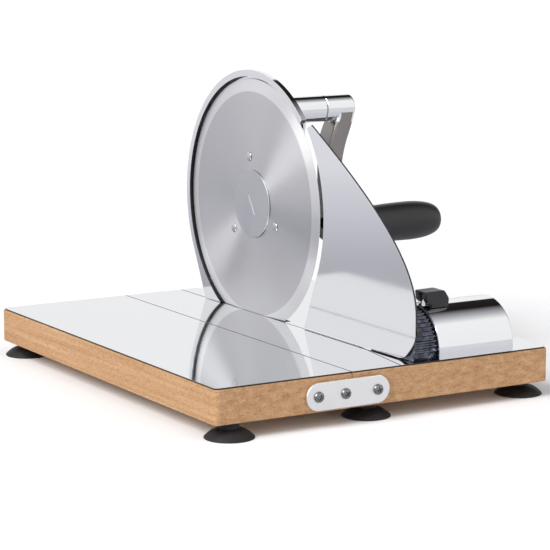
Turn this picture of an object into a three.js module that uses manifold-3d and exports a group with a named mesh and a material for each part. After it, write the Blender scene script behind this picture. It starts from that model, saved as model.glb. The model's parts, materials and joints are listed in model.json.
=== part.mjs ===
// Hand-cranked slicer on a two-part wooden board, with a round blade, a stop plate
// that sets the slice thickness, and a crank that drives the blade through two gears.
//
// Working frame while building, in millimetres:
//   X  blade's normal, from the food side (-X) to the crank side (+X), 0 at the cutting plane
//   Y  away from the operator, 0 at the blade's axis
//   Z  up, 0 at the top of the wooden boards
// The finished group is moved so that the middle of its outline, at the feet, is the origin.

import * as THREE from 'three';
import { mergeVertices } from 'three/addons/utils/BufferGeometryUtils.js';
import Module from 'manifold-3d';

const wasm = await Module();
wasm.setup();

// ---- driving dimensions ----

const GAP = 0.3;                     // air left between pieces that touch

const BOARD = { left: -157, seam: -50.2, right: 115.5, front: -219.5, back: 115.5, thick: 24, corner: 4 };
const SHEET = { thick: 0.8, inset: 1, corner: 3.5 };
const SHEET_TOP = GAP + SHEET.thick;
const SEAM_HALF = 0.4;               // half the gap between neighbouring sheets
const SLANT = { frontX: -10.6, sideY: -150 };

const BLADE = { r: 95, bevelR: 85.3, thick: 1.4, edge: 1.1, axisZ: 85, hole: 7.4 };
const SLOT = { back: 50, front: -46, wide: 6.5, deep: 14 };

const RING = { inner: 96.6, outer: 101.5, front: -1.2, back: 2.8, end: 46 };
const LEG = { inner: 46, outer: 72, tangentY: 94, tangentZ: 43.5 };

const MODULE = 1.5;
const TEETH = { blade: 78, crank: 19 };
const GEAR = { front: 4, back: 9.5 };
const CENTRES = MODULE * (TEETH.blade + TEETH.crank) / 2;
const CRANK_Y = -15;
const CRANK_Z = BLADE.axisZ + Math.sqrt(CENTRES ** 2 - CRANK_Y ** 2);
const CRANK = { radius: 92.2, hubR: 10, hubFrom: 52, hubTo: 77, armFrom: 53.2, armTo: 65.3, armWide: 19 };
const SHAFT_R = 4;

const DRUM = { inner: 10.5, outer: 13, wall: 2.4, clear: 1.1 };
const TUBE = { r: 10, bore: 6.3, spigot: 8, to: 51.5 };
const GRIP = { from: 67, to: 158, r: 15.1, neck: 10.5 };

const UNIT = { y: -189, z: 6, r: 30.5, wall: 1.6, from: 21.5, to: 84.7 };
const SLEEVE = { r: 28.2, root: 27.3, bore: 25.4, from: 1.9, to: 40, flutes: 26 };
const ROD = { r: 4, from: 3.2, to: 66, z: 13, spread: 11 };
const PLATE = { thick: 1.6, arcR: 101.3, foot: 2 };
const LEVER = { y: -194.4, wide: 14, pivotX: 27, pivotZ: 41.6, eye: 4.6, clear: 0.5 };
const CAP = { r: 26, front: -1, slotDeep: 0.5, stemR: 7 };

const FOOT = { r: 17.2, height: 11.5 };
const FEET = {
  left: { x: -140.3, inset: 10.5 },
  middle: { x: -28, inset: 17 },
  right: { x: 104, inset: 20 },
};
const JOINER = { x: -54.5, z: -12.8, long: 66.5, high: 19.5, thick: 2.2, screws: [-23.7, -2.2, 23.7] };

// ---- materials ----

function material(color, roughness, metalness) {
  return new THREE.MeshStandardMaterial({ color, roughness, metalness });
}

const beech = material(0xc79a6a, 0.6, 0);
const polishedSteel = material(0xdfe1e3, 0.08, 1);
const bladeSteel = material(0xc4c4c6, 0.3, 1);
const capSteel = material(0xa6a7aa, 0.42, 1);
const chrome = material(0xe4e6e8, 0.06, 1);
const zincPlate = material(0xd9d9d6, 0.35, 1);
const screwSteel = material(0x9a9a9c, 0.3, 1);
const castAluminium = material(0xb5b7b9, 0.45, 1);
const darkSleeve = material(0x2b2c34, 0.35, 0.6);
const blackPlastic = material(0x1b1a1c, 0.4, 0);
const gearPlastic = material(0xe6e2d6, 0.5, 0);
const bronze = material(0xa9793f, 0.4, 1);
const rubber = material(0x231618, 0.7, 0);

// ---- solids ----

/** A closed three.js geometry as a manifold solid, with its faces turned outwards. */
function solid(geometry) {
  const bare = new THREE.BufferGeometry();
  bare.setAttribute('position', geometry.getAttribute('position').clone());
  if (geometry.index) bare.setIndex(geometry.index.clone());
  const merged = mergeVertices(bare, 1e-4);
  const vertProperties = new Float32Array(merged.getAttribute('position').array);
  const corners = merged.index.array;
  const kept = [];
  for (let i = 0; i < corners.length; i += 3) {
    const [a, b, c] = [corners[i], corners[i + 1], corners[i + 2]];
    if (a !== b && b !== c && c !== a) kept.push(a, b, c);
  }
  if (volume(vertProperties, kept) < 0) kept.reverse();
  const mesh = new wasm.Mesh({ numProp: 3, vertProperties, triVerts: new Uint32Array(kept) });
  return new wasm.Manifold(mesh);
}

/** Six times the volume inside a triangle list, negative when its faces point inwards. */
function volume(points, corners) {
  const [a, b, c] = [new THREE.Vector3(), new THREE.Vector3(), new THREE.Vector3()];
  let sum = 0;
  for (let i = 0; i < corners.length; i += 3) {
    a.fromArray(points, 3 * corners[i]);
    b.fromArray(points, 3 * corners[i + 1]);
    c.fromArray(points, 3 * corners[i + 2]);
    sum += a.dot(b.cross(c));
  }
  return sum;
}

/** A manifold solid as a three.js geometry. */
function geometryOf(body) {
  const mesh = body.getMesh();
  const geometry = new THREE.BufferGeometry();
  geometry.setAttribute('position', new THREE.BufferAttribute(new Float32Array(mesh.vertProperties), 3));
  geometry.setIndex(new THREE.BufferAttribute(new Uint32Array(mesh.triVerts), 1));
  geometry.computeVertexNormals();
  return geometry;
}

const slicer = new THREE.Group();

/** Adds one named piece to the slicer. */
function piece(name, body, surface) {
  const mesh = new THREE.Mesh(geometryOf(body), surface);
  mesh.name = name;
  slicer.add(mesh);
  return mesh;
}

function join(...bodies) {
  return bodies.reduce((whole, next) => whole.add(next));
}

function cut(body, ...tools) {
  return tools.reduce((left, tool) => left.subtract(tool), body);
}

function box(x0, x1, y0, y1, z0, z1) {
  const geometry = new THREE.BoxGeometry(x1 - x0, y1 - y0, z1 - z0);
  return solid(geometry.translate((x0 + x1) / 2, (y0 + y1) / 2, (z0 + z1) / 2));
}

/** A cylinder along X. */
function rodX(r, x0, x1, y, z, sides = 32) {
  const geometry = new THREE.CylinderGeometry(r, r, x1 - x0, sides);
  return solid(geometry.rotateZ(-Math.PI / 2).translate((x0 + x1) / 2, y, z));
}

/** A cylinder along Y. */
function rodY(r, y0, y1, x, z, sides = 24) {
  const geometry = new THREE.CylinderGeometry(r, r, y1 - y0, sides);
  return solid(geometry.translate(x, (y0 + y1) / 2, z));
}

/** A cylinder along Z. */
function rodZ(r, z0, z1, x, y, sides = 16) {
  const geometry = new THREE.CylinderGeometry(r, r, z1 - z0, sides);
  return solid(geometry.rotateX(Math.PI / 2).translate(x, y, (z0 + z1) / 2));
}

/** A profile of [radius, x] points turned about the X axis, moved to (y, z). */
function turnX(profile, y, z, sides = 48) {
  const points = profile.map(([r, x]) => new THREE.Vector2(r, x));
  const geometry = new THREE.LatheGeometry(points, sides);
  return solid(geometry.rotateZ(-Math.PI / 2).translate(0, y, z));
}

/** A profile of [radius, z] points turned about the Z axis, moved to (x, y). */
function turnZ(profile, x, y, sides = 24) {
  const points = profile.map(([r, z]) => new THREE.Vector2(r, z));
  const geometry = new THREE.LatheGeometry(points, sides);
  return solid(geometry.rotateX(Math.PI / 2).translate(x, y, 0));
}

/** An outline in (y, z), extruded along X from x0 to x1. */
function alongX(shape, x0, x1, curveSegments = 12) {
  const geometry = new THREE.ExtrudeGeometry(shape, { depth: x1 - x0, bevelEnabled: false, curveSegments });
  const turn = new THREE.Matrix4().makeBasis(
    new THREE.Vector3(0, 1, 0), new THREE.Vector3(0, 0, 1), new THREE.Vector3(1, 0, 0));
  return solid(geometry.applyMatrix4(turn).translate(x0, 0, 0));
}

/** An outline in (x, z), extruded along Y from y0 to y1. */
function alongY(shape, y0, y1, curveSegments = 12) {
  const geometry = new THREE.ExtrudeGeometry(shape, { depth: y1 - y0, bevelEnabled: false, curveSegments });
  return solid(geometry.rotateX(Math.PI / 2).translate(0, y1, 0));
}

/** An outline in (x, y), extruded along Z from z0 to z1. */
function alongZ(shape, z0, z1, curveSegments = 8) {
  const geometry = new THREE.ExtrudeGeometry(shape, { depth: z1 - z0, bevelEnabled: false, curveSegments });
  return solid(geometry.translate(0, 0, z0));
}

/** A rectangle whose corners are rounded by the radii [left-front, right-front, right-back, left-back]. */
function roundedRectangle(x0, x1, y0, y1, [lf, rf, rb, lb]) {
  const shape = new THREE.Shape();
  shape.moveTo(x0 + lf, y0);
  shape.lineTo(x1 - rf, y0);
  if (rf > 0) shape.absarc(x1 - rf, y0 + rf, rf, -Math.PI / 2, 0);
  shape.lineTo(x1, y1 - rb);
  if (rb > 0) shape.absarc(x1 - rb, y1 - rb, rb, 0, Math.PI / 2);
  shape.lineTo(x0 + lb, y1);
  if (lb > 0) shape.absarc(x0 + lb, y1 - lb, lb, Math.PI / 2, Math.PI);
  shape.lineTo(x0, y0 + lf);
  if (lf > 0) shape.absarc(x0 + lf, y0 + lf, lf, Math.PI, 1.5 * Math.PI);
  return shape;
}

/** A closed outline through straight corners. */
function polygon(corners) {
  return new THREE.Shape(corners.map(([u, v]) => new THREE.Vector2(u, v)));
}

// ---- boards and their sheets ----

const housingScrews = [[26, 18], [26, 58]];
const blockScrews = [[46.5, UNIT.y], [57.5, UNIT.y]];
const coverScrew = [78.5, UNIT.y];
const screwsFromBelow = [...housingScrews, ...blockScrews, coverScrew];

/** Places of a front and a rear foot in (x, y), on the line that one side's feet share. */
function footPlaces({ x, inset }) {
  return { front: [x, BOARD.front + inset], rear: [x, BOARD.back - inset] };
}

function footPilots(...sides) {
  const places = sides.flatMap((side) => Object.values(footPlaces(side)));
  return places.map(([x, y]) => rodZ(2.1, -BOARD.thick - 1, -16, x, y, 8));
}

/** Through hole with a wide counterbore from the underside of the board. */
function screwWay([x, y]) {
  const bottom = -BOARD.thick - 1;
  return join(rodZ(2.8, bottom, SHEET_TOP + 1, x, y, 10), rodZ(5.4, bottom, -17, x, y, 12));
}

function leftBoard() {
  const round = [BOARD.corner, 0, 0, BOARD.corner];
  const outline = roundedRectangle(BOARD.left, BOARD.seam - GAP, BOARD.front, BOARD.back, round);
  const screwHoles = joinerHoles(JOINER.screws.slice(0, 2));
  return cut(alongZ(outline, -BOARD.thick, 0), ...footPilots(FEET.left), ...screwHoles);
}

function rightBoard() {
  const round = [0, BOARD.corner, BOARD.corner, 0];
  const outline = roundedRectangle(BOARD.seam + GAP, BOARD.right, BOARD.front, BOARD.back, round);
  const bladePocket = box(-1.5, SLOT.wide, SLOT.front, SLOT.back, -SLOT.deep, 1);
  const pilots = footPilots(FEET.middle, FEET.right);
  const ways = screwsFromBelow.map(screwWay);
  const holes = joinerHoles(JOINER.screws.slice(2));
  return cut(alongZ(outline, -BOARD.thick, 0), bladePocket, ...pilots, ...ways, ...holes);
}

/** Screw holes for the joining plates, in the front and rear faces of a board. */
function joinerHoles(offsets) {
  return offsets.flatMap((offset) => [
    rodY(2, BOARD.front - 1, BOARD.front + 15, JOINER.x + offset, JOINER.z, 8),
    rodY(2, BOARD.back - 15, BOARD.back + 1, JOINER.x + offset, JOINER.z, 8),
  ]);
}

function leftSheet() {
  const i = SHEET.inset;
  const round = [SHEET.corner, 0, 0, SHEET.corner];
  const outline = roundedRectangle(
    BOARD.left + i, BOARD.seam - SEAM_HALF, BOARD.front + i, BOARD.back - i, round);
  return alongZ(outline, GAP, SHEET_TOP);
}

/** The strip beside the blade, with its right front corner cut off at a slant. */
function stripSheet() {
  const [front, back] = [BOARD.front + SHEET.inset, BOARD.back - SHEET.inset];
  const right = -SEAM_HALF;
  const outline = polygon([
    [BOARD.seam + SEAM_HALF, front], [SLANT.frontX, front], [right, SLANT.sideY], [right, back],
    [BOARD.seam + SEAM_HALF, back],
  ]);
  return alongZ(outline, GAP, SHEET_TOP);
}

/** The sheet on the crank side, out to the strip's slant, and notched where the blade dips into the board. */
function rightSheet() {
  const i = SHEET.inset;
  const front = BOARD.front + i;
  const round = [0, SHEET.corner, SHEET.corner, 0];
  const main = roundedRectangle(SEAM_HALF, BOARD.right - i, front, BOARD.back - i, round);
  const corner = polygon([
    [SLANT.frontX + 2 * SEAM_HALF, front], [SEAM_HALF + 1, front], [SEAM_HALF + 1, SLANT.sideY],
    [SEAM_HALF, SLANT.sideY],
  ]);
  const notch = box(-1, SLOT.wide, SLOT.front, SLOT.back, -1, 3);
  const whole = join(alongZ(main, GAP, SHEET_TOP), alongZ(corner, GAP, SHEET_TOP));
  return cut(whole, notch, ...screwsFromBelow.map(screwWay));
}

piece('left_board', leftBoard(), beech);
piece('right_board', rightBoard(), beech);
piece('left_sheet', leftSheet(), polishedSteel);
piece('strip_sheet', stripSheet(), polishedSteel);
piece('right_sheet', rightSheet(), polishedSteel);

// ---- screws ----

/** A pan-head screw: under-head plane at z = 0, shank along +Z. */
function screw(name, size, position, turn = [0, 0, 0]) {
  const { headR, headH, shankR, long } = size;
  const profile = [
    [0, -headH], [0.7 * headR, -headH], [headR, -0.45 * headH], [headR, 0], [shankR, 0], [0.8 * shankR, long],
    [0, long],
  ];
  const mesh = piece(name, turnZ(profile, 0, 0, 10), screwSteel);
  mesh.position.set(...position);
  mesh.rotation.set(...turn);
}

const WOOD_SCREW = { headR: 3.8, headH: 2.2, shankR: 1.6, long: 14 };
const FOOT_SCREW = { headR: 4.5, headH: 2.4, shankR: 1.7, long: 13.5 };
const MACHINE_SCREW = { headR: 4.8, headH: 2.8, shankR: 2, long: 29 };
const CRANK_SCREW = { headR: 5, headH: 2.2, shankR: 2.2, long: 11 };

// ---- joining plates across the seam, with three screws each ----

function joiningPlate(y0, y1) {
  const r = JOINER.high / 2;
  const reach = JOINER.long / 2 - r;
  const outline = new THREE.Shape();
  outline.absarc(JOINER.x + reach, JOINER.z, r, -Math.PI / 2, Math.PI / 2);
  outline.absarc(JOINER.x - reach, JOINER.z, r, Math.PI / 2, 1.5 * Math.PI);
  const holes = JOINER.screws.map((offset) => rodY(2, y0 - 1, y1 + 1, JOINER.x + offset, JOINER.z, 10));
  return cut(alongY(outline, y0, y1, 14), ...holes);
}

const frontPlateY = BOARD.front - GAP;
const rearPlateY = BOARD.back + GAP;
piece('front_joining_plate', joiningPlate(frontPlateY - JOINER.thick, frontPlateY), zincPlate);
piece('rear_joining_plate', joiningPlate(rearPlateY, rearPlateY + JOINER.thick), zincPlate);
JOINER.screws.forEach((offset, i) => {
  const front = frontPlateY - JOINER.thick - GAP;
  const rear = rearPlateY + JOINER.thick + GAP;
  const place = [JOINER.x + offset, front, JOINER.z];
  screw(`front_plate_screw_${i + 1}`, WOOD_SCREW, place, [-Math.PI / 2, 0, 0]);
  screw(`rear_plate_screw_${i + 1}`, WOOD_SCREW, [JOINER.x + offset, rear, JOINER.z], [Math.PI / 2, 0, 0]);
});

// ---- suction feet, each held by a screw through its middle ----

const floorZ = -BOARD.thick - FOOT.height;

function foot(x, y) {
  const top = -BOARD.thick - GAP;
  const profile = [
    [2.2, top], [7, top], [7, top - 4.4], [13, floorZ + 4.6], [16.4, floorZ + 2], [FOOT.r, floorZ + 0.8],
    [FOOT.r, floorZ], [15.6, floorZ],
    [6.2, floorZ + 2.6], [6.2, floorZ + 5.6], [2.2, floorZ + 5.6], [2.2, top],
  ];
  return turnZ(profile, x, y, 20);
}

for (const [side, line] of Object.entries(FEET)) {
  for (const [end, [x, y]] of Object.entries(footPlaces(line))) {
    piece(`foot_${end}_${side}`, foot(x, y), rubber);
    screw(`foot_screw_${end}_${side}`, FOOT_SCREW, [x, y, floorZ + 5.6 - GAP]);
  }
}

// ---- machine housing: blade guard ring, gear drum, blade boss and foot, one casting ----

const SEAT = SHEET_TOP + GAP;

/** Guard outline in (y, z): a ring from the operator side over the top, running down into the leg. */
function guardOutline(outerR, innerR) {
  const end = Math.PI / 2 + THREE.MathUtils.degToRad(RING.end);
  const leave = Math.atan2(LEG.tangentZ - BLADE.axisZ, LEG.tangentY);
  const innerFoot = Math.sqrt(innerR ** 2 - (BLADE.axisZ - SEAT) ** 2);
  const innerLeave = Math.atan2(SEAT - BLADE.axisZ, innerFoot);
  const outline = new THREE.Shape();
  outline.absarc(0, BLADE.axisZ, outerR, end, leave, true);
  outline.lineTo(LEG.outer, SEAT);
  outline.lineTo(innerFoot, SEAT);
  outline.absarc(0, BLADE.axisZ, innerR, innerLeave, end, false);
  return outline;
}

/** Sector of the web behind the blade, in (y, z). */
function webOutline(outerR) {
  const end = Math.PI / 2 + THREE.MathUtils.degToRad(RING.end);
  const outline = new THREE.Shape();
  outline.absarc(0, BLADE.axisZ, outerR, end, Math.atan2(LEG.tangentZ - BLADE.axisZ, LEG.tangentY), true);
  outline.lineTo(LEG.outer, SEAT);
  outline.lineTo(-24, SEAT);
  outline.lineTo(-44, BLADE.axisZ - 40);
  outline.lineTo(-58, BLADE.axisZ);
  return outline;
}

/** Rib on the back of the drum, running out from the blade boss at an angle from straight up. */
function backRib(angle) {
  const rib = box(DRUM.outer - 0.5, DRUM.outer + 9, -1.6, 1.6, 11, 52);
  return rib.rotate([angle, 0, 0]).translate([0, 0, BLADE.axisZ]);
}

function machineHousing() {
  const gearR = MODULE * (TEETH.blade / 2 + 1) + DRUM.clear;
  const crankR = MODULE * (TEETH.crank / 2 + 1) + DRUM.clear;
  const web = { front: 2.2, back: 4.2 };
  const ring = alongX(guardOutline(RING.outer, RING.inner), RING.front, RING.back, 44);
  const sector = alongX(webOutline(98), web.front, web.back, 36);
  const drum = join(
    rodX(gearR + DRUM.wall, web.front, DRUM.outer, 0, BLADE.axisZ, 56),
    rodX(crankR + DRUM.wall, web.front, DRUM.outer, CRANK_Y, CRANK_Z, 28));
  const boss = rodX(13, DRUM.outer - 0.5, 31, 0, BLADE.axisZ, 28);
  const ribs = [-70, 20, 110, 180].map(backRib);
  const flange = box(web.front, 38, 4, LEG.outer, SEAT, SEAT + 5);
  const gussetOutline = polygon([[3, SEAT], [38, SEAT], [38, SEAT + 6], [DRUM.outer, 46], [3, 46]]);
  const gussets = [[34, 38], [64, 68]].map(([y0, y1]) => alongY(gussetOutline, y0, y1));
  const bosses = housingScrews.map(([x, y]) => rodZ(6, SEAT, SEAT + 15, x, y, 14));
  const rim = cut(
    alongX(guardOutline(99.5, 96.6), web.front, DRUM.outer, 44),
    box(-5, 20, -120, 60, 0, 220),
    box(-5, 20, -120, 120, 110, 220));
  const pilots = housingScrews.map(([x, y]) => rodZ(2.3, SEAT - 1, SEAT + 13, x, y, 8));
  const hollow = join(
    rodX(gearR, -6, DRUM.inner, 0, BLADE.axisZ, 56),
    rodX(crankR, -6, DRUM.inner, CRANK_Y, CRANK_Z, 28));
  return cut(
    join(ring, sector, drum, boss, ...ribs, flange, ...gussets, ...bosses, rim),
    hollow,
    rodX(7.3, 5, 40, 0, BLADE.axisZ, 32),
    rodX(TUBE.spigot + GAP, 5, 20, CRANK_Y, CRANK_Z, 32),
    ...pilots);
}

piece('machine_housing', machineHousing(), chrome);
housingScrews.forEach(([x, y], i) => screw(`housing_screw_${i + 1}`, MACHINE_SCREW, [x, y, -17.4]));

// ---- bearing tube and crank shaft ----

function bearingTube() {
  const profile = [
    [TUBE.bore, DRUM.inner + 0.4], [TUBE.spigot, DRUM.inner + 0.4], [TUBE.spigot, DRUM.outer + GAP],
    [TUBE.r, DRUM.outer + GAP], [TUBE.r, TUBE.to], [TUBE.bore, TUBE.to], [TUBE.bore, DRUM.inner + 0.4],
  ];
  return turnX(profile, CRANK_Y, CRANK_Z, 32);
}

function bush(outerR, x0, x1, y, z) {
  const bore = SHAFT_R + GAP;
  return turnX([[bore, x0], [outerR, x0], [outerR, x1], [bore, x1], [bore, x0]], y, z, 18);
}

piece('bearing_tube', bearingTube(), chrome);
piece('crank_bush_inner', bush(TUBE.bore - GAP, 11.2, 20, CRANK_Y, CRANK_Z), bronze);
piece('crank_bush_outer', bush(TUBE.bore - GAP, 42, TUBE.to - 0.3, CRANK_Y, CRANK_Z), bronze);

function crankShaft() {
  return cut(rodX(SHAFT_R, 3.9, 73, CRANK_Y, CRANK_Z, 16), rodX(2.5, 60, 75, CRANK_Y, CRANK_Z, 10));
}

piece('crank_shaft', crankShaft(), screwSteel);

// ---- gears ----

/** Spur gear outline about the origin: straight-flanked teeth, one tooth centred on angle `first`. */
function gearOutline(teeth, first) {
  const pitchR = MODULE * teeth / 2;
  const flank = Math.tan(THREE.MathUtils.degToRad(20));
  const [tipR, rootR] = [pitchR + 0.92 * MODULE, pitchR - 1.2 * MODULE];
  const half = Math.PI * MODULE / 4 - 0.2;
  const halfTip = (half - (tipR - pitchR) * flank) / tipR;
  const halfRoot = (half + (pitchR - rootR) * flank * 0.8) / rootR;
  const points = [];
  for (let i = 0; i < teeth; i += 1) {
    const middle = first + (2 * Math.PI * i) / teeth;
    for (const [r, offset] of [[rootR, -halfRoot], [tipR, -halfTip], [tipR, halfTip], [rootR, halfRoot]]) {
      points.push(new THREE.Vector2(r * Math.cos(middle + offset), r * Math.sin(middle + offset)));
    }
  }
  return new THREE.Shape(points);
}

const meshAngle = Math.atan2(CRANK_Z - BLADE.axisZ, CRANK_Y);

function bladeGear() {
  const halfTooth = Math.PI / TEETH.blade;
  const rim = alongX(gearOutline(TEETH.blade, meshAngle + halfTooth), GEAR.front, GEAR.back);
  const dish = turnX([[14, 0], [50, 0], [50, 2], [14, 2], [14, 0]], 0, 0, 28);
  return cut(
    rim,
    dish.translate([GEAR.front - 0.4, 0, 0]),
    dish.translate([GEAR.back - 1.6, 0, 0]),
    rodX(SHAFT_R + GAP, 0, 20, 0, 0, 16)).translate([0, 0, BLADE.axisZ]);
}

function crankPinion() {
  const rim = alongX(gearOutline(TEETH.crank, meshAngle + Math.PI), GEAR.front, GEAR.back);
  return cut(rim, rodX(SHAFT_R + GAP, 0, 20, 0, 0, 16)).translate([0, CRANK_Y, CRANK_Z]);
}

piece('blade_gear', bladeGear(), gearPlastic);
piece('crank_pinion', crankPinion(), gearPlastic);

// ---- blade, its carrier, rivets, shaft and lock cap ----

const RIVET = { circle: 36, first: 8, hole: 2.7, headR: 3.4, shankR: 2.4 };
const CARRIER = { front: BLADE.thick + GAP, back: 3.3, r: 42 };

/** Places of the three rivets in (y, z), the first a few degrees past straight up. */
function rivetPlaces() {
  return [0, 120, 240].map((step) => {
    const angle = THREE.MathUtils.degToRad(RIVET.first + step);
    return [RIVET.circle * Math.sin(angle), BLADE.axisZ + RIVET.circle * Math.cos(angle)];
  });
}

function withRivetHoles(body) {
  return cut(body, ...rivetPlaces().map(([y, z]) => rodX(RIVET.hole, -3, 6, y, z, 10)));
}

function blade() {
  const profile = [
    [BLADE.hole, 0], [BLADE.bevelR, 0], [BLADE.r, BLADE.edge], [BLADE.r, BLADE.thick],
    [BLADE.hole, BLADE.thick], [BLADE.hole, 0],
  ];
  return withRivetHoles(turnX(profile, 0, BLADE.axisZ, 80));
}

function bladeCarrier() {
  const profile = [
    [BLADE.hole, CARRIER.front], [CARRIER.r, CARRIER.front], [CARRIER.r, CARRIER.back],
    [BLADE.hole, CARRIER.back], [BLADE.hole, CARRIER.front],
  ];
  return withRivetHoles(turnX(profile, 0, BLADE.axisZ, 32));
}

function rivet(y, z) {
  const profile = [
    [0, -0.9], [0.75 * RIVET.headR, -0.9], [RIVET.headR, -GAP], [RIVET.shankR, -GAP],
    [RIVET.shankR, CARRIER.back + 0.3], [0, CARRIER.back + 0.3],
  ];
  return turnX(profile, y, z, 10);
}

/** Quarter-turn cap with a coin slot, on a stem through the middle of the blade. */
function lockCap() {
  const profile = [
    [0, CAP.front], [CAP.r - 0.4, CAP.front], [CAP.r, CAP.front + 0.3], [CAP.r, -GAP], [CAP.stemR, -GAP],
    [CAP.stemR, CARRIER.back], [0, CARRIER.back],
  ];
  const slotTool = box(CAP.front - 2, -CAP.slotDeep, -1.3, 1.3, -9.4, 9.4);
  const coinSlot = slotTool.rotate([-32, 0, 0]).translate([0, 0, BLADE.axisZ]);
  return cut(turnX(profile, 0, BLADE.axisZ, 36), coinSlot);
}

piece('blade', blade(), bladeSteel);
piece('blade_carrier', bladeCarrier(), bladeSteel);
rivetPlaces().forEach(([y, z], i) => piece(`blade_rivet_${i + 1}`, rivet(y, z), bladeSteel));
piece('blade_lock_cap', lockCap(), capSteel);
piece('blade_shaft', rodX(SHAFT_R, 3.7, 34.5, 0, BLADE.axisZ, 16), screwSteel);
piece('blade_bush_front', bush(7, 10.9, 18, 0, BLADE.axisZ), bronze);
piece('blade_bush_rear', bush(7, 23.5, 30.7, 0, BLADE.axisZ), bronze);
piece('shaft_clip', turnX([[4.3, 31.4], [8, 31.4], [8, 32.6], [4.3, 32.6], [4.3, 31.4]], 0, BLADE.axisZ, 16),
  screwSteel);

// ---- crank ----

const HANDLE_Z = CRANK_Z - CRANK.radius;

/** Crank side outline in (x, z): hangs from the hub and steps in towards the machine. */
function armOutline() {
  const { armFrom, armTo, hubTo } = CRANK;
  const outline = new THREE.Shape();
  outline.moveTo(armFrom, HANDLE_Z);
  outline.lineTo(armTo, HANDLE_Z);
  outline.lineTo(armTo, 108);
  outline.bezierCurveTo(armTo, 130, hubTo - 1, 142, hubTo, CRANK_Z);
  outline.lineTo(61.5, CRANK_Z);
  outline.lineTo(61.5, 150.4);
  outline.bezierCurveTo(58, 141, armFrom, 134, armFrom, 120);
  return outline;
}

function crankArm() {
  const half = CRANK.armWide / 2;
  return cut(
    join(
      alongY(armOutline(), CRANK_Y - half, CRANK_Y + half, 10),
      rodX(CRANK.hubR, CRANK.hubFrom, CRANK.hubTo, CRANK_Y, CRANK_Z, 32),
      rodX(9.8, CRANK.armFrom, CRANK.armTo, CRANK_Y, HANDLE_Z, 32)),
    rodX(SHAFT_R + GAP, 50, 73.3, CRANK_Y, CRANK_Z, 16),
    rodX(2.6, 70, 80, CRANK_Y, CRANK_Z, 10),
    rodX(5.4, 74.4, 80, CRANK_Y, CRANK_Z, 16),
    rodX(SHAFT_R + GAP, 50, 70, CRANK_Y, HANDLE_Z, 16));
}

function handleGrip() {
  const bore = SHAFT_R + 0.4;
  const profile = [
    [bore, GRIP.from], [GRIP.neck, GRIP.from], [12, GRIP.from + 5], [13.4, GRIP.from + 16],
    [14.4, GRIP.from + 32], [15, 118], [GRIP.r, 132], [14.5, 143], [12.5, 150], [9.4, 155],
    [6.6, 157.4], [6.4, GRIP.to], [6.4, 149.6], [bore, 149.6], [bore, GRIP.from],
  ];
  return turnX(profile, CRANK_Y, HANDLE_Z, 24);
}

function handleScrew() {
  const profile = [
    [0, 54], [SHAFT_R, 54], [SHAFT_R, 150.2], [6, 150.2], [6, 152], [4.4, 153], [0, 153],
  ];
  return turnX(profile, CRANK_Y, HANDLE_Z, 16);
}

piece('crank_arm', crankArm(), chrome);
screw('crank_screw', CRANK_SCREW, [74.7, CRANK_Y, CRANK_Z], [0, -Math.PI / 2, 0]);
piece('handle_screw', handleScrew(), screwSteel);
piece('handle_grip', handleGrip(), blackPlastic);

// ---- stop plate and the sleeve that carries it ----

/** Stop plate in (y, z): round hollow edge beside the blade, bowed edge falling to the operator. */
function stopPlateOutline() {
  const tip = THREE.MathUtils.degToRad(180 - 40);
  const low = Math.PI + Math.asin(42 / PLATE.arcR);
  const outline = new THREE.Shape();
  outline.moveTo(-75, PLATE.foot);
  outline.lineTo(PLATE.arcR * Math.cos(low), BLADE.axisZ + PLATE.arcR * Math.sin(low));
  outline.absarc(0, BLADE.axisZ, PLATE.arcR, low, tip, true);
  outline.lineTo(-84, 153);
  outline.bezierCurveTo(-154.1, 114.4, -221, 74, -221, 34);
  outline.lineTo(-221, 21);
  outline.bezierCurveTo(-221, 15, -215, 10, -211, 6);
  outline.quadraticCurveTo(-208, PLATE.foot + 1, -201, PLATE.foot);
  return outline;
}

function stopPlate() {
  const tab = box(0, 6.2, -221, -219.9, 19, 23.5);
  return join(alongX(stopPlateOutline(), 0, PLATE.thick, 28), tab);
}

/** Arch in (y, z) about the thickness unit's axis, with straight legs down to the sheet. */
function archOutline(r, bottom) {
  const outline = new THREE.Shape();
  outline.moveTo(UNIT.y + r, bottom);
  outline.lineTo(UNIT.y + r, UNIT.z);
  outline.absarc(UNIT.y, UNIT.z, r, 0, Math.PI);
  outline.lineTo(UNIT.y - r, bottom);
  return outline;
}

function flutedArchOutline() {
  const points = [new THREE.Vector2(UNIT.y + SLEEVE.root, SEAT)];
  const steps = 2 * SLEEVE.flutes;
  for (let i = 0; i <= steps; i += 1) {
    const r = i % 2 ? SLEEVE.r : SLEEVE.root;
    const angle = (Math.PI * i) / steps;
    points.push(new THREE.Vector2(UNIT.y + r * Math.cos(angle), UNIT.z + r * Math.sin(angle)));
  }
  points.push(new THREE.Vector2(UNIT.y - SLEEVE.root, SEAT));
  return new THREE.Shape(points);
}

const rodPlaces = [UNIT.y - ROD.spread, UNIT.y + ROD.spread];

function plateSleeve() {
  const body = alongX(flutedArchOutline(), SLEEVE.from, SLEEVE.to);
  const bore = alongX(archOutline(SLEEVE.bore, -5), SLEEVE.from + 3, SLEEVE.to + 5, 20);
  return cut(body, bore, ...rodPlaces.map((y) => rodX(ROD.r + GAP, ROD.from - 0.3, 9, y, ROD.z, 16)));
}

function guideBlock() {
  const holes = rodPlaces.map((y) => rodX(ROD.r + GAP, 40, 64, y, ROD.z, 16));
  const pilots = blockScrews.map(([x, y]) => rodZ(2.3, 0, 14, x, y, 12));
  return cut(box(44, 60, UNIT.y - 16, UNIT.y + 16, SEAT, 21), ...holes, ...pilots);
}

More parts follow.
